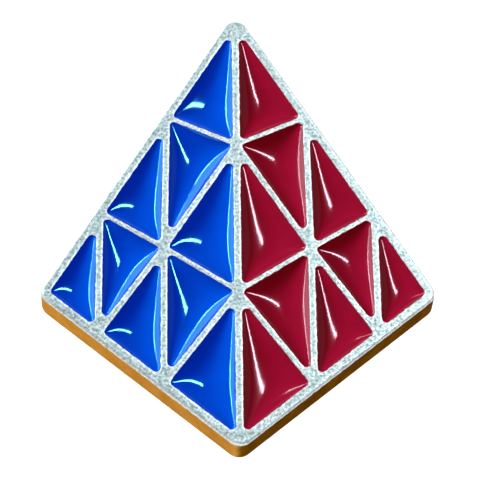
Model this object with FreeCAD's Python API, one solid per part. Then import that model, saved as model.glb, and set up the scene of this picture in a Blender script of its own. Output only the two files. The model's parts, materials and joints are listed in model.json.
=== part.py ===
"""Soft-enamel lapel pin in the shape of a pyramid puzzle, with two posts and two butterfly clutches.

Row frame, in millimetres: the pin lies on its clutches with its enamelled face up.
+Z is the face's outward normal, +Y runs up the artwork towards the pyramid's apex, +X to the viewer's right.
The origin is on the surface that the clutch wings rest on, under the middle of the plate's outline.
"""
import os
import FreeCAD
import Part
from math import atan2, cos, hypot, pi, sin, tan

Vector = FreeCAD.Vector
Z_AXIS = Vector(0, 0, 1)
Y_AXIS = Vector(0, 1, 0)

# ---- the plate: a kite with rounded corners, measured from the line through its two side corners ----
HALF_WIDTH = 12.5
APEX_RISE = 20.75
FOOT_DROP = 10.35
OUTLINE_RADIUS = 0.9
PLATE_THICKNESS = 2.0
FRONT_EDGE_RADIUS = 0.22
BACK_EDGE_RADIUS = 0.12

# ---- the artwork: two triangular faces that meet at a spine, each cut in nine cells by raised ridges ----
LATTICE_INSET = 0.36
RIM_WIDTH = 0.64
RIDGE_WIDTH = {"spine": 0.46, "upright": 0.42, "slope": 0.38, "row": 0.32}
CELL_CORNER_RADIUS = 0.27
POCKET_DEPTH = 0.6
ENAMEL_DROP = 0.2
UPPER_NODE_X = (4.45, 8.63)
LOWER_NODE_X = (4.60, 8.65)
MIDDLE_NODE = (4.60, 3.26)
SPINE_NODE_Y = (10.65, 0.27)

# ---- the two posts, given along the post from the plate's back face ----
POST_SPACING = 10.6
LOWER_POST_RISE = -0.1
SEAT_DEPTH = 0.15
FLANGE_RADIUS = 2.5
FLANGE_THICKNESS = 0.5
FLANGE_EDGE_RADIUS = 0.15
POST_RADIUS = 0.575
POST_LENGTH = 8.0
POST_ROOT_RADIUS = 0.3
GROOVE_RADIUS = 0.5
GROOVE_START = 4.15
GROOVE_END = 4.95
GROOVE_BEVEL = 0.1
TIP_LENGTH = 1.1
TIP_RADIUS = 0.08

# ---- a butterfly clutch, given along the post from its garment face, away from the plate ----
GARMENT_GAP = 2.6
CLUTCH_HEIGHT = 6.0
SHELL_RADIUS = 5.0
SHELL_HEIGHT = 1.5
SHEET = 0.3
SHELL_SHOULDER = 0.55
LIP_INNER_RADIUS = 4.3
LIP_THICKNESS = 0.25
BEAD_RADIUS = 3.75
BEAD_HEIGHT = 0.18
SLOT_HALF_LENGTH = 1.9
SLOT_HALF_WIDTH = 2.5
SLOT_CORNER_RADIUS = 0.4
RUNNING_CLEARANCE = 0.04
BASE_BOTTOM = 0.27
BASE_SHEET = 0.25
FUNNEL_MOUTH_RADIUS = 1.45
FUNNEL_HEIGHT = 0.85
SPRING_SHEET = 0.25
SPRING_LEVEL = 0.6
SPRING_HALF_LENGTH = 3.3
SPRING_HALF_WIDTH = 2.2
SPRING_HOLE_RADIUS = 1.6
WING_PIVOT = (-1.45, 1.02)
WING_KNEE = (0.75, 2.43)
WING_KNEE_RADIUS = 1.2
WING_SHOULDER_X = 2.75
WING_SHOULDER_RADIUS = 0.9
WING_TIP_X = 4.1
WING_CORNER_RADIUS = 1.0
JAW_GAP = 0.03
JAW_OPENING_END = 1.6
WINDOW_HALF_WIDTH = 1.25
TONGUE_HALF_WIDTH = 1.05
TONGUE_SLOT_HALF_WIDTH = 0.62
TONGUE_END = -0.65
OPENING_CORNER_RADIUS = 0.25
STRIP_END_ROUNDING = 0.98

# ---- how far a cutting tool runs past the faces that it cuts, and how near counts as touching ----
OVERCUT = 1.0
NEAR = 0.01

# ---- places that follow from the sizes above ----
TOP_Z = CLUTCH_HEIGHT + GARMENT_GAP + PLATE_THICKNESS
BACK_Z = TOP_Z - PLATE_THICKNESS
CLUTCH_Z = BACK_Z - GARMENT_GAP
APEX_HALF_ANGLE = atan2(HALF_WIDTH, APEX_RISE)
FOOT_HALF_ANGLE = atan2(HALF_WIDTH, FOOT_DROP)


def corner_trim(half_angle):
    """How far rounding takes a corner of the outline back from its sharp point."""
    return OUTLINE_RADIUS * (1 / sin(half_angle) - 1)


MIDDLE_RISE = (APEX_RISE - corner_trim(APEX_HALF_ANGLE) - FOOT_DROP + corner_trim(FOOT_HALF_ANGLE)) / 2
POST_Y = {
    "lower": LOWER_POST_RISE - MIDDLE_RISE,
    "upper": LOWER_POST_RISE + POST_SPACING - MIDDLE_RISE,
}


def flat(x, y):
    """A point of a plan outline."""
    return Vector(x, y, 0)


def upright(x, height):
    """A point of a side profile, in the X-Z plane."""
    return Vector(x, 0, height)


def rounded_face(points, radii, place=flat):
    """A face with an outline through points, each corner rounded by an arc of its own radius."""
    edges, arcs = [], []
    for i, (x, y) in enumerate(points):
        ax, ay = points[i - 1]
        bx, by = points[(i + 1) % len(points)]
        la, lb = hypot(ax - x, ay - y), hypot(bx - x, by - y)
        ua, ub = ((ax - x) / la, (ay - y) / la), ((bx - x) / lb, (by - y) / lb)
        half = atan2(abs(ua[0] * ub[1] - ua[1] * ub[0]), 1 + ua[0] * ub[0] + ua[1] * ub[1])
        reach = radii[i] / tan(half)
        mx, my = ua[0] + ub[0], ua[1] + ub[1]
        back = radii[i] * (1 / sin(half) - 1) / hypot(mx, my)
        start = place(x + ua[0] * reach, y + ua[1] * reach)
        middle = place(x + mx * back, y + my * back)
        end = place(x + ub[0] * reach, y + ub[1] * reach)
        arcs.append((start, middle, end))
    for i, (start, middle, end) in enumerate(arcs):
        edges.append(Part.LineSegment(arcs[i - 1][2], start).toShape())
        edges.append(Part.Arc(start, middle, end).toShape())
    return Part.Face(Part.Wire(edges))


def rounded_box(x0, x1, y0, y1, radius, z0, z1):
    """An upright block with rounded vertical edges."""
    corners = [(x0, y0), (x1, y0), (x1, y1), (x0, y1)]
    face = rounded_face(corners, [radius] * 4)
    face.translate(Vector(0, 0, z0))
    return face.extrude(Vector(0, 0, z1 - z0))


def turned(profile):
    """A solid of revolution about Z from its half profile, given as (radius, height) points."""
    points = [upright(r, h) for r, h in profile]
    wire = Part.makePolygon(points + points[:1])
    return Part.Face(wire).revolve(Vector(0, 0, 0), Z_AXIS, 360)


def line_through(p, q):
    """A line as (unit normal, offset), with the normal to the left of the way from p to q."""
    dx, dy = q[0] - p[0], q[1] - p[1]
    length = hypot(dx, dy)
    normal = (-dy / length, dx / length)
    return normal, normal[0] * p[0] + normal[1] * p[1]


def crossing(a, b):
    """The point where two lines cross."""
    (ax, ay), ac = a
    (bx, by), bc = b
    det = ax * by - ay * bx
    return (ac * by - bc * ay) / det, (ax * bc - bx * ac) / det


# ---------------------------------------------------------------- artwork

def lattice_nodes(side):
    """The points where ridges meet on one face of the drawn pyramid: side is -1 for the left, 1 for the right."""
    upper_y = APEX_RISE - LATTICE_INSET / sin(APEX_HALF_ANGLE)
    lower_y = FOOT_DROP - LATTICE_INSET / sin(FOOT_HALF_ANGLE)
    upper_slope, lower_slope = APEX_RISE / HALF_WIDTH, FOOT_DROP / HALF_WIDTH
    side_x = (upper_y + lower_y) / (upper_slope + lower_slope)
    nodes = {
        "apex": (0, upper_y),
        "upper_1": (UPPER_NODE_X[0], upper_y - upper_slope * UPPER_NODE_X[0]),
        "upper_2": (UPPER_NODE_X[1], upper_y - upper_slope * UPPER_NODE_X[1]),
        "side": (side_x, upper_y - upper_slope * side_x),
        "spine_1": (0, SPINE_NODE_Y[0]),
        "spine_2": (0, SPINE_NODE_Y[1]),
        "middle": MIDDLE_NODE,
        "lower_1": (LOWER_NODE_X[0], lower_slope * LOWER_NODE_X[0] - lower_y),
        "lower_2": (LOWER_NODE_X[1], lower_slope * LOWER_NODE_X[1] - lower_y),
        "foot": (0, -lower_y),
    }
    return {name: (side * x, y - MIDDLE_RISE) for name, (x, y) in nodes.items()}


# Each cell by its puzzle piece, with its corners and what lies along the side that starts at each corner.
CELLS = {
    "tip_top": (("apex", "rim"), ("upper_1", "row"), ("spine_1", "spine")),
    "tip_side": (("upper_2", "rim"), ("side", "rim"), ("lower_2", "upright")),
    "tip_foot": (("spine_2", "slope"), ("lower_1", "rim"), ("foot", "spine")),
    "centre_top": (("upper_1", "upright"), ("middle", "slope"), ("spine_1", "row")),
    "centre_side": (("upper_2", "upright"), ("lower_2", "slope"), ("middle", "row")),
    "centre_foot": (("middle", "upright"), ("lower_1", "slope"), ("spine_2", "row")),
    "edge_outer": (("upper_1", "rim"), ("upper_2", "row"), ("middle", "upright")),
    "edge_inner": (("spine_1", "slope"), ("middle", "row"), ("spine_2", "spine")),
    "edge_lower": (("middle", "slope"), ("lower_2", "rim"), ("lower_1", "upright")),
}


def cell_face(side, cell):
    """The outline of one cell: its lattice triangle, moved in from each ridge and rounded."""
    nodes = lattice_nodes(side)
    names = [name for name, _ in CELLS[cell]]
    lines = []
    for i, (start, border) in enumerate(CELLS[cell]):
        p, q = nodes[start], nodes[names[(i + 1) % 3]]
        normal, offset = line_through(p, q)
        inward = -side
        shift = RIM_WIDTH - LATTICE_INSET if border == "rim" else RIDGE_WIDTH[border] / 2
        lines.append((normal, offset + inward * shift))
    corners = [crossing(lines[i - 1], lines[i]) for i in range(3)]
    return rounded_face(corners, [CELL_CORNER_RADIUS] * 3)


def plate_outline():
    """The kite-shaped outline of the plate, with its middle at the origin."""
    corners = [
        (0, APEX_RISE - MIDDLE_RISE),
        (-HALF_WIDTH, -MIDDLE_RISE),
        (0, -FOOT_DROP - MIDDLE_RISE),
        (HALF_WIDTH, -MIDDLE_RISE),
    ]
    return rounded_face(corners, [OUTLINE_RADIUS] * 4)


def edges_at(shape, z):
    """The edges of a shape that lie flat at height z."""
    return [e for e in shape.Edges if abs(e.BoundBox.ZMin - z) < NEAR and abs(e.BoundBox.ZMax - z) < NEAR]


def plate(cells):
    """The struck plate: rounded rim, eighteen enamel pockets in front and two post seats behind."""
    face = plate_outline()
    face.translate(Vector(0, 0, BACK_Z))
    body = face.extrude(Vector(0, 0, PLATE_THICKNESS))
    body = body.makeFillet(FRONT_EDGE_RADIUS, edges_at(body, TOP_Z))
    body = body.makeFillet(BACK_EDGE_RADIUS, edges_at(body, BACK_Z))
    pockets = []
    for cell in cells.values():
        pocket = cell.copy()
        pocket.translate(Vector(0, 0, TOP_Z - POCKET_DEPTH))
        pockets.append(pocket.extrude(Vector(0, 0, POCKET_DEPTH + OVERCUT)))
    for y in POST_Y.values():
        pockets.append(Part.makeCylinder(FLANGE_RADIUS, SEAT_DEPTH, Vector(0, y, BACK_Z), Z_AXIS))
    return body.cut(pockets)


def enamel(cell):
    """One colour fill, lying on its pocket's floor and stopping short of the ridges' tops."""
    fill = cell.copy()
    fill.translate(Vector(0, 0, TOP_Z - POCKET_DEPTH))
    return fill.extrude(Vector(0, 0, POCKET_DEPTH - ENAMEL_DROP))


# ---------------------------------------------------------------- posts and clutches
# These are drawn about their own post, with height measured away from the plate, and then hung in place.

def hang(shape, y, level):
    """Turns a shape over, so that its height runs down from level, on the post at y."""
    hung = shape.copy()
    hung.rotate(Vector(0, 0, 0), Y_AXIS, 180)
    hung.translate(Vector(0, y, level))
    return hung


def post():
    """A headed post: flange, shank, clutch groove, nose and point."""
    shank_end = POST_LENGTH - TIP_LENGTH
    root = FLANGE_THICKNESS - SEAT_DEPTH
    body = turned([
        (0, -SEAT_DEPTH),
        (FLANGE_RADIUS, -SEAT_DEPTH),
        (FLANGE_RADIUS, root),
        (POST_RADIUS, root),
        (POST_RADIUS, GROOVE_START),
        (GROOVE_RADIUS, GROOVE_START + GROOVE_BEVEL),
        (GROOVE_RADIUS, GROOVE_END - GROOVE_BEVEL),
        (POST_RADIUS, GROOVE_END),
        (POST_RADIUS, shank_end),
        (TIP_RADIUS, POST_LENGTH),
        (0, POST_LENGTH),
    ])
    neck = [e for e in edges_at(body, root) if e.BoundBox.XMax < POST_RADIUS + NEAR]
    body = body.makeFillet(POST_ROOT_RADIUS, neck)
    rim = [e for e in edges_at(body, root) if e.BoundBox.XMax > FLANGE_RADIUS - NEAR]
    return body.makeFillet(FLANGE_EDGE_RADIUS, rim)


def clutch_shell():
    """The round cap, with a folded lip that holds the base disc, a raised bead and a slot for the wings."""
    inner = SHELL_RADIUS - SHEET
    roof = SHELL_HEIGHT - SHEET
    body = turned([
        (LIP_INNER_RADIUS, 0),
        (SHELL_RADIUS, 0),
        (SHELL_RADIUS, SHELL_HEIGHT),
        (0, SHELL_HEIGHT),
        (0, roof),
        (inner, roof),
        (inner, LIP_THICKNESS),
        (LIP_INNER_RADIUS, LIP_THICKNESS),
    ])
    shoulder = [e for e in edges_at(body, SHELL_HEIGHT) if e.BoundBox.XMax > SHELL_RADIUS - NEAR]
    body = body.makeFillet(SHELL_SHOULDER, shoulder)
    bead = Part.makeTorus(BEAD_RADIUS, BEAD_HEIGHT * 2, Vector(0, 0, SHELL_HEIGHT - BEAD_HEIGHT), Z_AXIS)
    keep = Part.makeCylinder(SHELL_RADIUS, SHELL_HEIGHT, Vector(0, 0, SHELL_HEIGHT - SHEET / 2), Z_AXIS)
    body = body.fuse(bead.common(keep)).removeSplitter()
    slot = rounded_box(
        -SLOT_HALF_LENGTH, SLOT_HALF_LENGTH, -SLOT_HALF_WIDTH, SLOT_HALF_WIDTH,
        SLOT_CORNER_RADIUS, roof - OVERCUT, SHELL_HEIGHT + OVERCUT,
    )
    return body.cut(slot)


def clutch_base():
    """The round disc on the garment side, with a funnel that guides the post to the jaws."""
    bore = POST_RADIUS + RUNNING_CLEARANCE
    top = BASE_BOTTOM + BASE_SHEET
    return turned([
        (FUNNEL_MOUTH_RADIUS, BASE_BOTTOM),
        (SHELL_RADIUS - SHEET - RUNNING_CLEARANCE, BASE_BOTTOM),
        (SHELL_RADIUS - SHEET - RUNNING_CLEARANCE, top),
        (FUNNEL_MOUTH_RADIUS, top),
        (bore + BASE_SHEET, BASE_BOTTOM + FUNNEL_HEIGHT),
        (bore, BASE_BOTTOM + FUNNEL_HEIGHT),
        (bore, BASE_BOTTOM + FUNNEL_HEIGHT - BASE_SHEET),
    ])


def spring_plate():
    """The flat middle of the spring strip, between the base disc and the cap."""
    body = rounded_box(
        -SPRING_HALF_LENGTH, SPRING_HALF_LENGTH, -SPRING_HALF_WIDTH, SPRING_HALF_WIDTH,
        OPENING_CORNER_RADIUS, SPRING_LEVEL, SPRING_LEVEL + SPRING_SHEET,
    )
    return body.cut(Part.makeCylinder(SPRING_HOLE_RADIUS, SHELL_HEIGHT))


def wing_sheet():
    """A wing's bent strip, from its pivot across the post to its finger tab, at the spring's full width."""
    level = CLUTCH_HEIGHT - SPRING_SHEET / 2
    path = [WING_PIVOT, WING_KNEE, (WING_SHOULDER_X, level), (WING_TIP_X, level)]
    bends = {1: WING_KNEE_RADIUS, 2: WING_SHOULDER_RADIUS}
    half = SPRING_SHEET / 2
    sides = {}
    for sign in (-1, 1):
        rails = []
        for p, q in zip(path, path[1:]):
            normal, offset = line_through(p, q)
            rails.append((normal, offset + sign * half))
        heel, toe = [
            (end[0] + sign * half * n[0], end[1] + sign * half * n[1])
            for end, (n, _) in ((path[0], rails[0]), (path[-1], rails[-1]))
        ]
        sides[sign] = [heel] + [crossing(a, b) for a, b in zip(rails, rails[1:])] + [toe]
    cap = half * STRIP_END_ROUNDING
    # The knee turns left and the shoulder turns right, so each is tighter on its own inner side.
    left_radii = [cap, bends[1] - half, bends[2] + half, cap]
    right_radii = [cap, bends[1] + half, bends[2] - half, cap]
    outline = sides[-1] + sides[1][::-1]
    face = rounded_face(outline, right_radii + left_radii[::-1], upright)
    face.translate(Vector(0, -SPRING_HALF_WIDTH, 0))
    sheet = face.extrude(Vector(0, 2 * SPRING_HALF_WIDTH, 0))
    plan = rounded_box(
        -SPRING_HALF_LENGTH, WING_TIP_X, -SPRING_HALF_WIDTH, SPRING_HALF_WIDTH,
        WING_CORNER_RADIUS, 0, CLUTCH_HEIGHT + OVERCUT,
    )
    return sheet.common(plan)


def windowed_wing():
    """The wing with a window that the other wing's tongue passes through. Its finger tab is at +X."""
    grip = -(POST_RADIUS + JAW_GAP)
    window = rounded_box(
        grip, JAW_OPENING_END, -WINDOW_HALF_WIDTH, WINDOW_HALF_WIDTH,
        OPENING_CORNER_RADIUS, 0, CLUTCH_HEIGHT,
    )
    return wing_sheet().cut(window)


def tongued_wing():
    """The wing with a narrow slotted tongue that crosses the other wing. Its finger tab is at -X."""
    grip = -(POST_RADIUS + JAW_GAP)
    slot = rounded_box(
        grip, JAW_OPENING_END, -TONGUE_SLOT_HALF_WIDTH, TONGUE_SLOT_HALF_WIDTH,
        OPENING_CORNER_RADIUS, 0, CLUTCH_HEIGHT,
    )
    cuts = [slot]
    for edge in (-1, 1):
        y0, y1 = sorted((edge * TONGUE_HALF_WIDTH, edge * (SPRING_HALF_WIDTH + OVERCUT)))
        cuts.append(rounded_box(
            -SPRING_HALF_LENGTH, -TONGUE_END, y0, y1, OPENING_CORNER_RADIUS, 0, CLUTCH_HEIGHT,
        ))
    wing = wing_sheet().cut(cuts)
    wing.rotate(Vector(0, 0, 0), Z_AXIS, 180)
    return wing


# ---------------------------------------------------------------- the whole pin

def main():
    os.makedirs("parts", exist_ok=True)
    colours = {-1: "blue", 1: "red"}
    cells = {
        f"enamel_{colour}_{cell}": cell_face(side, cell)
        for side, colour in colours.items()
        for cell in CELLS
    }
    nodes = {"base_plate": plate(cells)}
    nodes.update({name: enamel(cell) for name, cell in cells.items()})
    pieces = {
        "base_disc": clutch_base(),
        "cap": clutch_shell(),
        "spring_plate": spring_plate(),
        # Hanging a clutch turns it over, so its +X wing comes to lie on the pin's -X side.
        "wing_left": windowed_wing(),
        "wing_right": tongued_wing(),
    }
    for where, y in POST_Y.items():
        nodes[f"post_{where}"] = hang(post(), y, BACK_Z)
        for piece, shape in pieces.items():
            nodes[f"clutch_{where}_{piece}"] = hang(shape, y, CLUTCH_Z)
    for name, shape in nodes.items():
        solids = shape.Solids
        if not all(solid.isValid() for solid in solids):
            raise ValueError(f"{name} has a solid that is not valid")
        Part.makeCompound(solids).exportStep(f"parts/{name}.step")
        print(name, len(solids), round(shape.Volume, 3))
    low = min(s.BoundBox.ZMin for s in nodes.values())
    print("lowest", round(low, 4), "top", TOP_Z, "post y", POST_Y, "middle rise", round(MIDDLE_RISE, 4))


main()
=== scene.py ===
"""Looks of the enamel pin: struck plate, enamel pools, posts and clutches, on a pale floor in soft light.

The mesh code works in millimetres in the row frame and writes metres. Outlines are read from the CAD nodes.
"""

import json
import math
import random

import bmesh
import bpy
import numpy as np
from mathutils import Matrix, Vector, noise
from mathutils.geometry import delaunay_2d_cdt


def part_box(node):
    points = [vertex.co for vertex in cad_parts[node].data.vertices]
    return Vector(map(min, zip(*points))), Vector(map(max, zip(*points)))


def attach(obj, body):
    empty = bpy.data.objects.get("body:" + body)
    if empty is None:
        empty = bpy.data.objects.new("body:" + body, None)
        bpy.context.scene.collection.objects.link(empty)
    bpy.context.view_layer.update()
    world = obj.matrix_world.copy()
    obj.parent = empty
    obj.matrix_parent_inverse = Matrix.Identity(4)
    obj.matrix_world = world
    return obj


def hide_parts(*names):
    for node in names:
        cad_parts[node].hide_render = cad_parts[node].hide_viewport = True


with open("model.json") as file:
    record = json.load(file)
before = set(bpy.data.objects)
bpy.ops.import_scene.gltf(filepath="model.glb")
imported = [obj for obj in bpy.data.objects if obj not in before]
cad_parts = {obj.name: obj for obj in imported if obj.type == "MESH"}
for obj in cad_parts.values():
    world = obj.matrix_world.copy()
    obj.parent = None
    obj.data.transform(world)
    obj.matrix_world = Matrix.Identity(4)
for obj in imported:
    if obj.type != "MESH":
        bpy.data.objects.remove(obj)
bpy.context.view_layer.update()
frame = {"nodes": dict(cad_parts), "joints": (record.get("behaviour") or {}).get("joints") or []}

MM = 0.001
SEED = 7
WELD = 2e-7

# ---- heights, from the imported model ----
BACK_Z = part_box("base_plate")[0].z / MM
TOP_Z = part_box("base_plate")[1].z / MM
POCKET_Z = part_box("enamel_blue_tip_top")[0].z / MM
SEAT_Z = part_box("post_lower")[1].z / MM

# ---- the struck plate ----
LIP_RADIUS = 0.06
LIP_STEPS = 4
FRONT_ROUNDING = 0.22
FRONT_STEPS = 5
BACK_ROUNDING = 0.12
BACK_STEPS = 3
OUTLINE_STEP = 0.16
CELL_STEP = 0.085
GRAIN_STEP = 0.125
GRAIN_JITTER = 0.2
GRAIN_HEIGHT = 0.030
EDGE_WOBBLE = 0.030
# how wide the painted edge highlight is, and how far inside the rim its line lies, in millimetres
HIGHLIGHT_WIDTH = 0.15
RIM_HIGHLIGHT_INSET = 0.10
RIM_NICKS = 0.06
WALL_ROWS = 7
WALL_RIPPLE = 0.012
BACK_STEP = 1.2
BACK_JITTER = 0.1
SEAT_STEPS = 72
SHARP_ANGLE = 50

# ---- how fine the struck unevenness is, in cycles per millimetre: the broad and the fine part ----
WOBBLE_PER_MM = (2.3, 5.7)
DENTS_PER_MM = (1.9, 6.0)
GRAIN_PER_MM = (7.0, 15.0)
NICKS_PER_MM = 4.3

# ---- how far the free points of a triangulated face stay from its fixed edges ----
LIP_CLEARANCE = 0.045
RIM_CLEARANCE = 0.05
SEAT_CLEARANCE = 0.4
BACK_RIM_CLEARANCE = 0.3

# ---- plan points closer than this, in millimetres, are one point to the triangulation ----
SAME_POINT = 1e-6

# ---- rows of an even honeycomb lie this many steps apart ----
HEX_ROW = 0.866

# ---- the enamel pools ----
POOL_SCALE = (0.93, 1.05)
EDGE_DROP = 0.035
VALLEY_SLOPE = 0.26
VALLEY_BLEND = 2
BELLY = 0.06
FLATTENING = 1.3
CORNER_CLIMB = 0.05
MENISCUS_DEPTH = 0.04
MENISCUS_REACH = 0.10
POOL_RINGS = 26
POOL_RING_POWER = 1.7
POOL_OVERLAP = 0.006

# ---- the floor, in metres, with how much lower in millimetres a squeezed wing's tip swings ----
WING_SWING = 1.05
FLOOR_SIZE = 3.0
# the floor's painted glow: emission strength by distance from the pin, in metres
FLOOR_GLOW = {"From Min": 0.45, "From Max": 0.8, "To Min": 0.42, "To Max": 0.95}

# ---- the room's brightness by height, from the horizon to overhead ----
ROOM_STOPS = [
    (0.07, (1.0, 1.0, 1.0)),
    (0.10, (0.52, 0.53, 0.55)),
    (0.14, (0.36, 0.37, 0.38)),
    (0.24, (0.045, 0.05, 0.055)),
]

# ---- the camera, as a tilt back from the face's normal ----
CAMERA_TILT = math.radians(27)
CAMERA_YAW = math.radians(-2.195)
CAMERA_ROLL = math.radians(-0.732)
CAMERA_DISTANCE = 160.0
CAMERA_LENS = 191.7
CAMERA_AIM = (0.14, -1.13)
CAMERA_SENSOR = 36.0
CAMERA_CLIP = (0.01, 10.0)


# ---------------------------------------------------------------- plan outlines

def plan_hull(node):
    """The convex outline of a CAD node seen from above, counter-clockwise, in millimetres."""
    vertices = frame["nodes"][node].data.vertices
    points = sorted({(round(v.co.x / MM, 5), round(v.co.y / MM, 5)) for v in vertices})

    def chain(run):
        kept = []
        for p in run:
            while len(kept) > 1:
                (ax, ay), (bx, by) = kept[-2], kept[-1]
                if (bx - ax) * (p[1] - ay) - (by - ay) * (p[0] - ax) > 0:
                    break
                kept.pop()
            kept.append(p)
        return kept[:-1]

    return np.array(chain(points) + chain(points[::-1]))


class Outline:
    """A convex outline with straight sides and one corner radius, read from a CAD node."""

    def __init__(self, node, sides):
        hull = plan_hull(node)
        steps = np.roll(hull, -1, axis=0) - hull
        lengths = np.linalg.norm(steps, axis=1)
        longest = np.sort(np.argsort(lengths)[-sides:])
        along = steps[longest] / lengths[longest, None]
        self.normals = np.stack([along[:, 1], -along[:, 0]], axis=1)
        self.offsets = (self.normals * hull[longest]).sum(1)
        corners, radii = [], []
        for i in range(sides):
            corner = np.linalg.solve(self.normals[[i - 1, i]], self.offsets[[i - 1, i]])
            turn = math.acos(self.normals[i - 1] @ self.normals[i])
            radii.append(np.linalg.norm(hull[longest[i]] - corner) / math.tan(turn / 2))
            corners.append(corner)
        self.radius = float(np.mean(radii))
        self.centres = np.array([
            corners[i] - self.radius * (self.normals[i - 1] + self.normals[i])
            / (1 + self.normals[i - 1] @ self.normals[i])
            for i in range(sides)
        ])
        self.sides = sides

    def samples(self, step):
        """Points along the outline about step apart, and the outward normal at each."""
        points, normals = [], []
        for i in range(self.sides):
            start = math.atan2(self.normals[i - 1][1], self.normals[i - 1][0])
            end = math.atan2(self.normals[i][1], self.normals[i][0])
            end += 2 * math.pi * (end < start)
            count = max(6, math.ceil((end - start) * self.radius / step))
            for k in range(count + 1):
                angle = start + (end - start) * k / count
                normal = np.array([math.cos(angle), math.sin(angle)])
                points.append(self.centres[i] + self.radius * normal)
                normals.append(normal)
            a = self.centres[i] + self.radius * self.normals[i]
            b = self.centres[(i + 1) % self.sides] + self.radius * self.normals[i]
            count = math.ceil(np.linalg.norm(b - a) / step)
            for k in range(1, count):
                points.append(a + (b - a) * k / count)
                normals.append(self.normals[i])
        return np.array(points), np.array(normals)

    def distance(self, points):
        """Signed distance from the outline, negative inside."""
        best = np.full(len(points), np.inf)
        for i in range(self.sides):
            a, b = self.centres[i], self.centres[(i + 1) % self.sides]
            t = np.clip(((points - a) @ (b - a)) / ((b - a) @ (b - a)), 0, 1)
            best = np.minimum(best, np.linalg.norm(points - a - t[:, None] * (b - a), axis=1))
        inner = self.side_distances(points).min(axis=1) - self.radius
        return np.where(inner > 0, -inner, best) - self.radius

    def side_distances(self, points):
        """Distance inwards from each straight side's line, one column per side."""
        return self.offsets - points @ self.normals.T


PLATE = Outline("base_plate", 4)
CELL_NODES = sorted(n for n in frame["nodes"] if n.startswith("enamel_"))
CELLS = {name: Outline(name, 3) for name in CELL_NODES}


def plan_noise(point, per_mm, height):
    """Smooth noise from -1 to 1 at a plan point. height picks another slice of it."""
    return noise.noise(Vector((point[0] * per_mm, point[1] * per_mm, height)))


def wobbled(name):
    """A cell's outline with the slight unevenness of a struck edge, which its pocket and its fill share."""
    points, normals = CELLS[name].samples(CELL_STEP)
    broad, fine = WOBBLE_PER_MM
    shift = np.array([0.6 * plan_noise(p, broad, 4.0) + plan_noise(p, fine, 9.0) for p in points])
    return points + normals * (EDGE_WOBBLE * shift)[:, None], normals


# ---------------------------------------------------------------- mesh helpers

def add_ring(bm, points, height):
    """A closed row of vertices at one height, or at a height per point, from millimetres."""
    heights = np.broadcast_to(height, len(points))
    return [bm.verts.new((x * MM, y * MM, z * MM)) for (x, y), z in zip(points, heights)]


def bridge(bm, lower, upper, material=0):
    """Quads between two rows of equal length. The outside is to the right of the way from lower to upper."""
    count = len(lower)
    for i in range(count):
        j = (i + 1) % count
        face = bm.faces.new((lower[i], lower[j], upper[j], upper[i]))
        face.material_index = material
        face.smooth = True


def close_ring(bm, ring, up, material=0):
    """One flat face across a ring that runs counter-clockwise from above."""
    face = bm.faces.new(ring if up else ring[::-1])
    face.material_index = material


def spread(faces, started, fixed):
    """The faces reached from the started ones without crossing a fixed edge, in their order."""
    sides = [[frozenset((face[i - 1], face[i])) for i in range(3)] for face in faces]
    beside = {}
    for index, face_sides in enumerate(sides):
        for side in face_sides:
            beside.setdefault(side, []).append(index)
    reached, queue = set(started), list(started)
    while queue:
        for side in sides[queue.pop()]:
            if side not in fixed:
                further = [index for index in beside[side] if index not in reached]
                reached.update(further)
                queue += further
    return [faces[index] for index in sorted(reached)]


def triangulated(loops, extra):
    """Triangles around the extra points, as far as the plan loops.

    The triangulation also fills what lies past the loops. Slivers along a loop are too thin to tell apart by
    where they lie, which leaves strays and gaps, so the faces to keep are found by their neighbours instead.
    """
    points, edges = [], []
    for loop in loops:
        first, count = len(points), len(loop)
        points += [tuple(p) for p in loop]
        edges += [(first + i, first + (i + 1) % count) for i in range(count)]
    on_loops = len(points)
    points += [tuple(p) for p in extra]
    verts, lines, faces, from_points, from_edges, _ = delaunay_2d_cdt(
        [Vector(p) for p in points], edges, [], 0, SAME_POINT
    )
    is_extra = [max(source) >= on_loops for source in from_points]
    started = [index for index, face in enumerate(faces) if any(is_extra[v] for v in face)]
    fixed = {frozenset(line) for line, source in zip(lines, from_edges) if source}
    return np.array([tuple(v) for v in verts]), np.array(spread(faces, started, fixed))


def hex_points(step, jitter):
    """A honeycomb of points over the plate, each moved a little at random."""
    draw = random.Random(SEED)
    low, high = (np.array(c[:2]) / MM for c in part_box("base_plate"))
    rows = math.ceil((high[1] - low[1]) / (step * HEX_ROW))
    columns = math.ceil((high[0] - low[0]) / step)
    return np.array([
        (
            low[0] + (column + 0.5 * (row % 2)) * step + draw.uniform(-jitter, jitter),
            low[1] + row * step * HEX_ROW + draw.uniform(-jitter, jitter),
        )
        for row in range(rows)
        for column in range(columns)
    ])


def add_triangles(bm, plan, faces, height, up, material=0):
    """Triangles at one height. The front is shaded smooth over its grain, and the back is a true plane."""
    verts = [bm.verts.new((x * MM, y * MM, height * MM)) for x, y in plan]
    for a, b, c in faces:
        face = bm.faces.new((verts[a], verts[b], verts[c]) if up else (verts[c], verts[b], verts[a]))
        face.material_index = material
        face.smooth = up


def finished_object(bm, name, materials):
    """The mesh as an object in the scene, with rows that coincide joined."""
    bmesh.ops.remove_doubles(bm, verts=bm.verts, dist=WELD)
    loose = [v for v in bm.verts if not v.link_faces]
    bmesh.ops.delete(bm, geom=loose, context="VERTS")
    mesh = bpy.data.meshes.new(name)
    bm.to_mesh(mesh)
    bm.free()
    for material in materials:
        mesh.materials.append(material)
    made = bpy.data.objects.new(name, mesh)
    bpy.context.scene.collection.objects.link(made)
    return made


def mark_sharp(bm):
    """Edges that turn by more than SHARP_ANGLE stay crisp."""
    for edge in bm.edges:
        if len(edge.link_faces) == 2 and edge.calc_face_angle() > math.radians(SHARP_ANGLE):
            edge.smooth = False


# ---------------------------------------------------------------- materials

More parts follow.
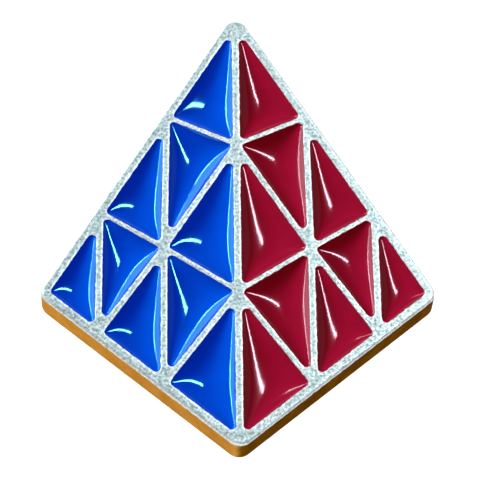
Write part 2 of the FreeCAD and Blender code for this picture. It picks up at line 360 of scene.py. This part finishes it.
def set_stops(ramp, stops):
    """Gives a colour ramp node its (place, colour) stops."""
    elements = ramp.color_ramp.elements
    while len(elements) < len(stops):
        elements.new(0.5)
    for element, (where, colour) in zip(elements, stops):
        element.position = where
        element.color = (*colour, 1.0)


class Surface:
    """A principled material and the few nodes that its pattern needs. Patterns lie in the object's metres."""

    def __init__(self, name, **values):
        self.material = bpy.data.materials.new(name)
        self.material.use_nodes = True
        self.tree = self.material.node_tree
        self.shader = self.tree.nodes["Principled BSDF"]
        self.place = self.tree.nodes.new("ShaderNodeTexCoord")
        for key, value in values.items():
            socket = self.shader.inputs[key.replace("_", " ")]
            socket.default_value = (*value, 1.0) if isinstance(value, tuple) else value

    def node(self, kind, **settings):
        made = self.tree.nodes.new("ShaderNode" + kind)
        for key, value in settings.items():
            setattr(made, key, value)
        return made

    def link(self, source, target):
        self.tree.links.new(source, target)

    def noise(self, size, detail=3.0, roughness=0.55, stretch=None):
        """A noise pattern whose features are about size millimetres across."""
        made = self.node("TexNoise")
        made.inputs["Scale"].default_value = 1 / (size * MM)
        made.inputs["Detail"].default_value = detail
        made.inputs["Roughness"].default_value = roughness
        source = self.place.outputs["Object"]
        if stretch:
            mapping = self.node("Mapping")
            mapping.inputs["Scale"].default_value = stretch
            self.link(source, mapping.inputs["Vector"])
            source = mapping.outputs["Vector"]
        self.link(source, made.inputs["Vector"])
        return made.outputs["Fac"]

    def ramp(self, source, stops):
        """Colours along a value. Each stop is (place, colour)."""
        made = self.node("ValToRGB")
        set_stops(made, stops)
        self.link(source, made.inputs["Fac"])
        return made.outputs["Color"]

    def mixed(self, factor, a, b, blend="MIX"):
        """Two colours, or outputs, mixed by a factor."""
        made = self.node("Mix", data_type="RGBA", blend_type=blend)
        sockets = [s for s in made.inputs if s.enabled]
        for socket, value in zip(sockets, (factor, a, b)):
            if isinstance(value, bpy.types.NodeSocket):
                self.link(value, socket)
            else:
                socket.default_value = (*value, 1.0) if isinstance(value, tuple) else value
        return [s for s in made.outputs if s.enabled][0]

    def lean(self, direction, low, high):
        """From 0 to 1 as the surface's own normal leans from low to high along a direction of the part."""
        dot = self.node("VectorMath", operation="DOT_PRODUCT")
        dot.inputs[1].default_value = direction
        self.link(self.place.outputs["Normal"], dot.inputs[0])
        spread = self.node("MapRange", interpolation_type="SMOOTHSTEP")
        spread.inputs["From Min"].default_value = low
        spread.inputs["From Max"].default_value = high
        self.link(dot.outputs["Value"], spread.inputs["Value"])
        return spread.outputs["Result"]

    def spread(self, source, low, high):
        """A value from 0 to 1, moved to run from low to high."""
        made = self.node("MapRange")
        made.inputs["To Min"].default_value = low
        made.inputs["To Max"].default_value = high
        self.link(source, made.inputs["Value"])
        return made.outputs["Result"]

    def bump(self, source, depth, strength=1.0):
        """Relief of a depth in millimetres, on top of any relief that is already there."""
        made = self.node("Bump")
        made.inputs["Distance"].default_value = depth * MM
        made.inputs["Strength"].default_value = strength
        self.link(source, made.inputs["Height"])
        before = self.shader.inputs["Normal"].links
        if before:
            self.link(before[0].from_socket, made.inputs["Normal"])
        self.link(made.outputs["Normal"], self.shader.inputs["Normal"])

    def colour(self, source):
        """Takes the base colour from an output."""
        self.link(source, self.shader.inputs["Base Color"])

    def gloss(self, source):
        """Takes the roughness from an output."""
        self.link(source, self.shader.inputs["Roughness"])


def plated_metal():
    """Silver plating: sandy and grey along the middle of the raised lines, with a near-white painted
    highlight along their edges.
    """
    s = Surface("silver_plating", Metallic=0.72)
    grain = s.noise(0.17, 2.5, 0.6)
    fine = s.noise(0.07, 2, 0.6)
    sand = s.ramp(grain, [(0.34, (0.20, 0.28, 0.29)), (0.48, (0.37, 0.49, 0.51)), (0.64, (0.60, 0.74, 0.77))])
    # painted highlight: the near-white tones laid along the pockets' edges and just inside the rim
    bright = s.ramp(grain, [(0.32, (0.46, 0.55, 0.57)), (0.45, (0.80, 0.91, 0.92)), (0.60, (1.0, 1.0, 1.0))])
    highlight_mask = s.node("Attribute", attribute_name="painted_edge_highlight")
    s.colour(s.mixed(highlight_mask.outputs["Fac"], sand, bright))
    s.gloss(s.spread(fine, 0.30, 0.52))
    s.bump(grain, 0.045, 0.7)
    s.bump(fine, 0.015, 0.6)
    return s.material


def wall_metal():
    """The trimmed side wall: a warm orange painted reflection of a lit warm surface, turning to brown painted
    shade where it faces right.
    """
    s = Surface("side_wall_painted_reflection_and_shade", Metallic=1.0, Specular_Tint=(0.45, 0.32, 0.20))
    mottle = s.noise(0.9, 5, 0.65, stretch=(1, 1, 0.7))
    painted_warm_reflection = s.ramp(mottle, [
        (0.30, (0.52, 0.24, 0.052)),
        (0.52, (0.60, 0.29, 0.070)),
        (0.72, (0.67, 0.35, 0.105)),
    ])
    painted_shade_brown = s.ramp(mottle, [
        (0.30, (0.10, 0.050, 0.003)),
        (0.55, (0.14, 0.073, 0.005)),
        (0.75, (0.19, 0.105, 0.012)),
    ])
    # painted shade: brown where the wall faces right, and a painted reflection in warm orange where it faces
    # left
    s.colour(s.mixed(s.lean((0.94, -0.34, 0), -0.05, 0.5), painted_warm_reflection, painted_shade_brown))
    s.gloss(s.spread(s.noise(0.3, 3), 0.38, 0.6))
    s.bump(s.noise(0.12, 3, 0.6, stretch=(1, 1, 0.2)), 0.01, 0.5)
    return s.material


def back_metal():
    """The plate's plain back, sand-blasted under the same plating."""
    s = Surface("sand_blasted_back", Metallic=0.85)
    grain = s.noise(0.14, 3, 0.6)
    s.colour(s.ramp(grain, [(0.35, (0.50, 0.52, 0.52)), (0.65, (0.76, 0.78, 0.78))]))
    s.gloss(s.spread(s.noise(1.8, 3), 0.32, 0.5))
    s.bump(grain, 0.02, 0.6)
    return s.material


def enamel(name, shaded_tone, main, light, tint, roughness):
    """Glossy pigmented enamel, with painted shade where the pool's surface leans away from the upper left and
    painted light where it leans towards it.
    """
    s = Surface(name, Roughness=roughness, IOR=1.52, Specular_Tint=tint)
    # painted shade and light: the tone runs from shaded through the enamel's own main colour to lit, by which
    # way the surface faces
    lean = s.lean((-0.80, 0.60, 0), -0.36, 0.26)
    cloud = s.noise(1.6, 2, 0.5)
    tone = s.ramp(lean, [(0.0, shaded_tone), (0.48, main), (1.0, light)])
    s.colour(s.mixed(1.0, tone, s.ramp(cloud, [(0.3, (0.88, 0.88, 0.88)), (0.7, (1, 1, 1))]), "MULTIPLY"))
    s.bump(s.noise(0.9, 2, 0.45), 0.010, 0.5)
    return s.material


def nickel():
    """Turned nickel plating with fine rings around the post."""
    s = Surface("nickel_plating", Metallic=1.0)
    s.colour(s.ramp(s.noise(0.9, 3), [(0.3, (0.42, 0.41, 0.39)), (0.7, (0.56, 0.55, 0.53))]))
    s.gloss(s.spread(s.noise(0.6, 3), 0.20, 0.30))
    s.bump(s.noise(0.12, 2, 0.5, stretch=(0.05, 0.05, 1)), 0.002, 0.4)
    return s.material


def brass(name, dark, bright, low, high):
    """Stamped brass, a little tarnished in random patches."""
    s = Surface(name, Metallic=1.0)
    s.colour(s.ramp(s.noise(1.3, 4, 0.6), [(0.3, dark), (0.62, bright)]))
    s.gloss(s.spread(s.noise(0.5, 4), low, high))
    s.bump(s.noise(0.10, 3, 0.6, stretch=(1, 0.25, 1)), 0.004, 0.5)
    return s.material


# ---------------------------------------------------------------- the struck plate

# the plate's material slots
TOP, WALL, BACK = 0, 1, 2


def quarter(steps):
    """Angles from a flat face round to an upright wall."""
    return [math.pi / 2 * i / steps for i in range(steps + 1)]


def cell_gap(points):
    """Distance from each plan point to the nearest cell's outline, negative inside a cell."""
    return np.min([CELLS[name].distance(points) for name in CELL_NODES], axis=0)


def add_front(bm, rim, rim_normals, pockets):
    """The raised lines' land, between the rim's rounding and the pockets' lips."""
    loops = [rim - rim_normals * FRONT_ROUNDING]
    loops += [points + normals * LIP_RADIUS for points, normals in pockets]
    extra = hex_points(GRAIN_STEP, GRAIN_STEP * GRAIN_JITTER)
    off_lips = cell_gap(extra) > LIP_RADIUS + LIP_CLEARANCE
    off_rim = PLATE.distance(extra) < -FRONT_ROUNDING - RIM_CLEARANCE
    plan, faces = triangulated(loops, extra[off_lips & off_rim])
    add_triangles(bm, plan, faces, TOP_Z, True, TOP)


def add_pocket(bm, points, normals):
    """A lip that rolls over into an upright wall, and a floor."""
    rows = [
        add_ring(
            bm,
            points + normals * LIP_RADIUS * (1 - math.sin(angle)),
            TOP_Z - LIP_RADIUS * (1 - math.cos(angle)),
        )
        for angle in quarter(LIP_STEPS)
    ]
    rows.append(add_ring(bm, points, POCKET_Z))
    for upper, lower in zip(rows, rows[1:]):
        bridge(bm, upper, lower, TOP)
    close_ring(bm, rows[-1], True, TOP)


def add_rim(bm, rim, rim_normals):
    """The nicked front rounding, the rippled side wall and the back rounding."""
    rows = []
    nicks = np.array([max(0.0, plan_noise(p, NICKS_PER_MM, 2.0)) for p in rim])
    for angle in quarter(FRONT_STEPS):
        inset = FRONT_ROUNDING * (1 - math.sin(angle)) + RIM_NICKS * nicks * math.sin(angle)
        depth = FRONT_ROUNDING * (1 - math.cos(angle))
        rows.append(add_ring(bm, rim - rim_normals * inset[:, None], TOP_Z - depth))
    wall_top, wall_bottom = TOP_Z - FRONT_ROUNDING, BACK_Z + BACK_ROUNDING
    broad, fine = DENTS_PER_MM
    for row in range(1, WALL_ROWS):
        z = wall_top + (wall_bottom - wall_top) * row / WALL_ROWS
        dents = [0.5 + 0.5 * plan_noise(p, broad, z * 0.8) + 0.5 * plan_noise(p, fine, z * 1.1) for p in rim]
        inset = np.clip(dents, 0, 1) * WALL_RIPPLE
        rows.append(add_ring(bm, rim - rim_normals * inset[:, None], z))
    for angle in reversed(quarter(BACK_STEPS)):
        inset = BACK_ROUNDING * (1 - math.sin(angle))
        rise = BACK_ROUNDING * (1 - math.cos(angle))
        rows.append(add_ring(bm, rim - rim_normals * inset, BACK_Z + rise))
    for i, (upper, lower) in enumerate(zip(rows, rows[1:])):
        bridge(bm, lower, upper, TOP if i < FRONT_STEPS - 1 else WALL)


def post_seat(where):
    """The middle and radius of the seat that a post's flange lies in, and its outline."""
    low, high = (np.array(c[:2]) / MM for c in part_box(f"post_{where}"))
    middle, radius = (low + high) / 2, (high - low).mean() / 2
    angles = np.linspace(0, 2 * math.pi, SEAT_STEPS, endpoint=False)
    return middle, radius, middle + radius * np.stack([np.cos(angles), np.sin(angles)], axis=1)


def add_back(bm, rim, rim_normals):
    """The plain back, with the two seats for the posts."""
    seats = [post_seat(where) for where in ("lower", "upper")]

    def seat_gap(points):
        return np.min([np.linalg.norm(points - m, axis=1) - r for m, r, _ in seats], axis=0)

    extra = hex_points(BACK_STEP, BACK_STEP * BACK_JITTER)
    off_rim = PLATE.distance(extra) < -BACK_ROUNDING - BACK_RIM_CLEARANCE
    extra = extra[(seat_gap(extra) > SEAT_CLEARANCE) & off_rim]
    loops = [rim - rim_normals * BACK_ROUNDING] + [ring for _, _, ring in seats]
    plan, faces = triangulated(loops, extra)
    add_triangles(bm, plan, faces, BACK_Z, False, BACK)
    for _, _, ring in seats:
        mouth, floor = add_ring(bm, ring, BACK_Z), add_ring(bm, ring, SEAT_Z)
        bridge(bm, floor, mouth, BACK)
        close_ring(bm, floor, False, BACK)


def roughen_front(bm):
    """Sinks the raised lines by their sandy grain, fading out down the rim's rounding."""
    broad, fine = GRAIN_PER_MM
    for vert in bm.verts:
        depth = TOP_Z - vert.co.z / MM
        if depth < FRONT_ROUNDING:
            here = vert.co / MM
            rough = 0.55 + 0.45 * noise.noise(here * broad) + 0.3 * noise.noise(here * fine)
            vert.co.z -= GRAIN_HEIGHT * max(0.0, min(1.0, rough)) * (1 - depth / FRONT_ROUNDING) * MM


def add_painted_edge_highlight(plate):
    """Writes where the painted highlight lies, strongest along the pockets' edges and just inside the rim."""
    plan = np.array([(v.co.x / MM, v.co.y / MM) for v in plate.data.vertices])
    gap = np.min([np.abs(CELLS[name].distance(plan)) for name in CELL_NODES], axis=0)
    gap = np.minimum(gap, np.abs(PLATE.distance(plan) + RIM_HIGHLIGHT_INSET))
    painted_edge_highlight = plate.data.attributes.new("painted_edge_highlight", "FLOAT", "POINT")
    painted_edge_highlight.data.foreach_set("value", np.clip(1 - gap / HIGHLIGHT_WIDTH, 0, 1))


def build_plate():
    """The plate: sandy raised lines, pockets with rolled lips, rounded rim, rippled wall and plain back."""
    bm = bmesh.new()
    rim, rim_normals = PLATE.samples(OUTLINE_STEP)
    pockets = [wobbled(name) for name in CELL_NODES]
    add_front(bm, rim, rim_normals, pockets)
    for points, normals in pockets:
        add_pocket(bm, points, normals)
    add_rim(bm, rim, rim_normals)
    add_back(bm, rim, rim_normals)
    bmesh.ops.remove_doubles(bm, verts=bm.verts, dist=WELD)
    mark_sharp(bm)
    roughen_front(bm)
    plate = finished_object(bm, "struck_plate", [plated_metal(), wall_metal(), back_metal()])
    add_painted_edge_highlight(plate)
    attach(plate, "root")
    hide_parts("base_plate")


# ---------------------------------------------------------------- the enamel

def pool_height(outline, points, scale):
    """The height of an enamel pool: it climbs to its walls, and a valley runs in from each corner."""
    away = np.maximum(outline.side_distances(points), 1e-6)
    edge = np.maximum(-outline.distance(points), 0)
    valley = (away ** -VALLEY_BLEND).sum(axis=1) ** (-1 / VALLEY_BLEND) * (1 - np.exp(-edge / CORNER_CLIMB))
    belly = 27 * away.prod(axis=1) / away.sum(axis=1) ** 2  # their sum where all three are equal
    sag = scale * (VALLEY_SLOPE * valley + BELLY * belly)
    sag = FLATTENING * (1 - np.exp(-sag / FLATTENING))
    meniscus = MENISCUS_DEPTH * (1 - np.exp(-edge / MENISCUS_REACH))
    return TOP_Z - EDGE_DROP - (sag + meniscus)


def build_pool(name, material, draw):
    """One enamel fill, as a closed piece with a concave top."""
    outline = CELLS[name]
    points, normals = wobbled(name)
    points = points + normals * POOL_OVERLAP
    middle = points.mean(axis=0)
    scale = draw.uniform(*POOL_SCALE)
    bm = bmesh.new()
    rows = []
    for ring in range(POOL_RINGS):
        t = 1 - (ring / POOL_RINGS) ** POOL_RING_POWER
        here = middle + (points - middle) * t
        rows.append(add_ring(bm, here, pool_height(outline, here, scale)))
    for outer, inner in zip(rows, rows[1:]):
        bridge(bm, outer, inner)
    centre = bm.verts.new((*(middle * MM), float(pool_height(outline, middle[None], scale)[0]) * MM))
    last = rows[-1]
    for i, vert in enumerate(last):
        face = bm.faces.new((vert, last[(i + 1) % len(last)], centre))
        face.smooth = True
    floor = add_ring(bm, points, POCKET_Z)
    bridge(bm, floor, rows[0])
    close_ring(bm, floor, False)
    mark_sharp(bm)
    pool = finished_object(bm, name.replace("enamel_", "pool_"), [material])
    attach(pool, "root")
    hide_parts(name)


def build_enamel():
    """The nine blue and nine red fills."""
    draw = random.Random(SEED)
    # each enamel's first tone is painted shade and its last is painted light, around its own main colour
    colours = {
        "blue": enamel(
            "blue_enamel",
            shaded_tone=(0.0, 0.021, 0.43),
            main=(0.0, 0.052, 0.62),
            light=(0.0, 0.085, 0.77),
            tint=(0.17, 1.0, 0.97),
            roughness=0.06,
        ),
        "red": enamel(
            "red_enamel",
            shaded_tone=(0.15, 0.0, 0.004),
            main=(0.27, 0.002, 0.017),
            light=(0.37, 0.004, 0.031),
            tint=(0.72, 0.45, 0.58),
            roughness=0.10,
        ),
    }
    for name in CELL_NODES:
        build_pool(name, colours["blue" if "_blue_" in name else "red"], draw)


# ---------------------------------------------------------------- posts and clutches

def dress_hardware():
    """Finishes for the posts and clutches, whose shapes come from the CAD."""
    finishes = {
        "post": nickel(),
        "cap": brass("stamped_brass", (0.52, 0.34, 0.12), (0.80, 0.60, 0.28), 0.20, 0.36),
        "base": brass("disc_brass", (0.50, 0.33, 0.12), (0.76, 0.57, 0.27), 0.24, 0.42),
        "spring": brass("spring_brass", (0.50, 0.31, 0.10), (0.74, 0.52, 0.22), 0.26, 0.44),
    }
    for name, node in frame["nodes"].items():
        if name.startswith("post_"):
            kind = "post"
        elif name.endswith("_cap"):
            kind = "cap"
        elif name.endswith("_base_disc"):
            kind = "base"
        elif name.startswith("clutch_"):
            kind = "spring"
        else:
            continue
        node.data.materials.clear()
        node.data.materials.append(finishes[kind])


# ---------------------------------------------------------------- floor, light and camera

def build_floor():
    """A plain pale floor, low enough for a squeezed clutch off its post. It glows with painted light of its
    own, weaker near the pin, where it washes out the pin's shadow, and stronger further out, where it keeps
    the floor white.
    """
    reach = max(joint["range_m"][1] for joint in frame["joints"] if joint["type"] == "slide")
    s = Surface("pale_floor_painted_glow", Base_Color=(0.93, 0.93, 0.93), Roughness=0.8)
    s.shader.inputs["Specular IOR Level"].default_value = 0.1
    away = s.node("VectorMath", operation="LENGTH")
    s.link(s.place.outputs["Object"], away.inputs[0])
    glow = s.node("MapRange")
    for key, value in FLOOR_GLOW.items():
        glow.inputs[key].default_value = value
    s.link(away.outputs["Value"], glow.inputs["Value"])
    s.link(glow.outputs["Result"], s.shader.inputs["Emission Strength"])
    bm = bmesh.new()
    bmesh.ops.create_grid(bm, x_segments=2, y_segments=2, size=FLOOR_SIZE)
    floor = finished_object(bm, "floor", [s.material])
    floor.location.z = -reach - WING_SWING * MM


def soft_light(name, bearing, distance, size, strength, colour, roll=0):
    """An area light that faces the pin. bearing is its angle round from +X and up, in degrees."""
    data = bpy.data.lights.new(name, "AREA")
    data.shape = "RECTANGLE"
    data.size, data.size_y = size
    data.energy = strength
    data.color = colour
    lamp = bpy.data.objects.new(name, data)
    middle = Vector((0, 0, TOP_Z * MM))
    around, up = (math.radians(angle) for angle in bearing)
    toward = Vector((math.cos(around) * math.cos(up), math.sin(around) * math.cos(up), math.sin(up)))
    lamp.location = middle + toward * distance
    turn = Matrix.Rotation(math.radians(roll), 3, toward)
    lamp.rotation_euler = (turn @ toward.to_track_quat("Z", "Y").to_matrix()).to_euler()
    bpy.context.scene.collection.objects.link(lamp)


def build_light():
    """A dim room with a pale horizon, a window on the left, a long thin lamp and soft fills."""
    world = bpy.data.worlds.new("room")
    bpy.context.scene.world = world
    world.use_nodes = True
    nodes, links = world.node_tree.nodes, world.node_tree.links
    place = nodes.new("ShaderNodeTexCoord")
    split = nodes.new("ShaderNodeSeparateXYZ")
    ramp = nodes.new("ShaderNodeValToRGB")
    set_stops(ramp, ROOM_STOPS)
    links.new(place.outputs["Generated"], split.inputs["Vector"])
    links.new(split.outputs["Z"], ramp.inputs["Fac"])
    links.new(ramp.outputs["Color"], nodes["Background"].inputs["Color"])
    soft_light("window", (137, 23), 0.50, (0.34, 0.24), 1.0, (0.84, 1.0, 0.97))
    soft_light("window_sash", (137, 38.5), 0.50, (0.34, 0.016), 0.75, (0.90, 1.0, 1.0))
    soft_light("lamp", (45, 57.5), 0.45, (0.20, 0.021), 1.05, (1.0, 0.98, 0.98), roll=19)
    soft_light("right_fill", (30, 28), 0.50, (0.30, 0.20), 0.06, (0.92, 0.88, 1.0))
    soft_light("front", (263, 32), 0.60, (0.70, 0.40), 1.75, (1.0, 1.0, 1.0))


def build_camera():
    """The camera looks down on the face from below the artwork's foot."""
    data = bpy.data.cameras.new("camera")
    data.sensor_width = CAMERA_SENSOR
    data.lens = CAMERA_LENS
    data.clip_start, data.clip_end = CAMERA_CLIP
    camera = bpy.data.objects.new("camera", data)
    bpy.context.scene.collection.objects.link(camera)
    back = Vector((
        math.sin(CAMERA_YAW) * math.cos(CAMERA_TILT),
        -math.sin(CAMERA_TILT),
        math.cos(CAMERA_TILT) * math.cos(CAMERA_YAW),
    )).normalized()
    right = Vector((0, 1, 0)).cross(back).normalized()
    turn = Matrix.Rotation(CAMERA_ROLL, 3, back)
    right = turn @ right
    up = back.cross(right)
    middle = Vector((CAMERA_AIM[0], CAMERA_AIM[1], TOP_Z))
    camera.matrix_world = Matrix.LocRotScale(
        (middle + back * CAMERA_DISTANCE) * MM, Matrix((right, up, back)).transposed(), None,
    )
    bpy.context.scene.camera = camera


bpy.context.scene.view_settings.view_transform = "Standard"
build_plate()
build_enamel()
dress_hardware()
build_floor()
build_light()
build_camera()
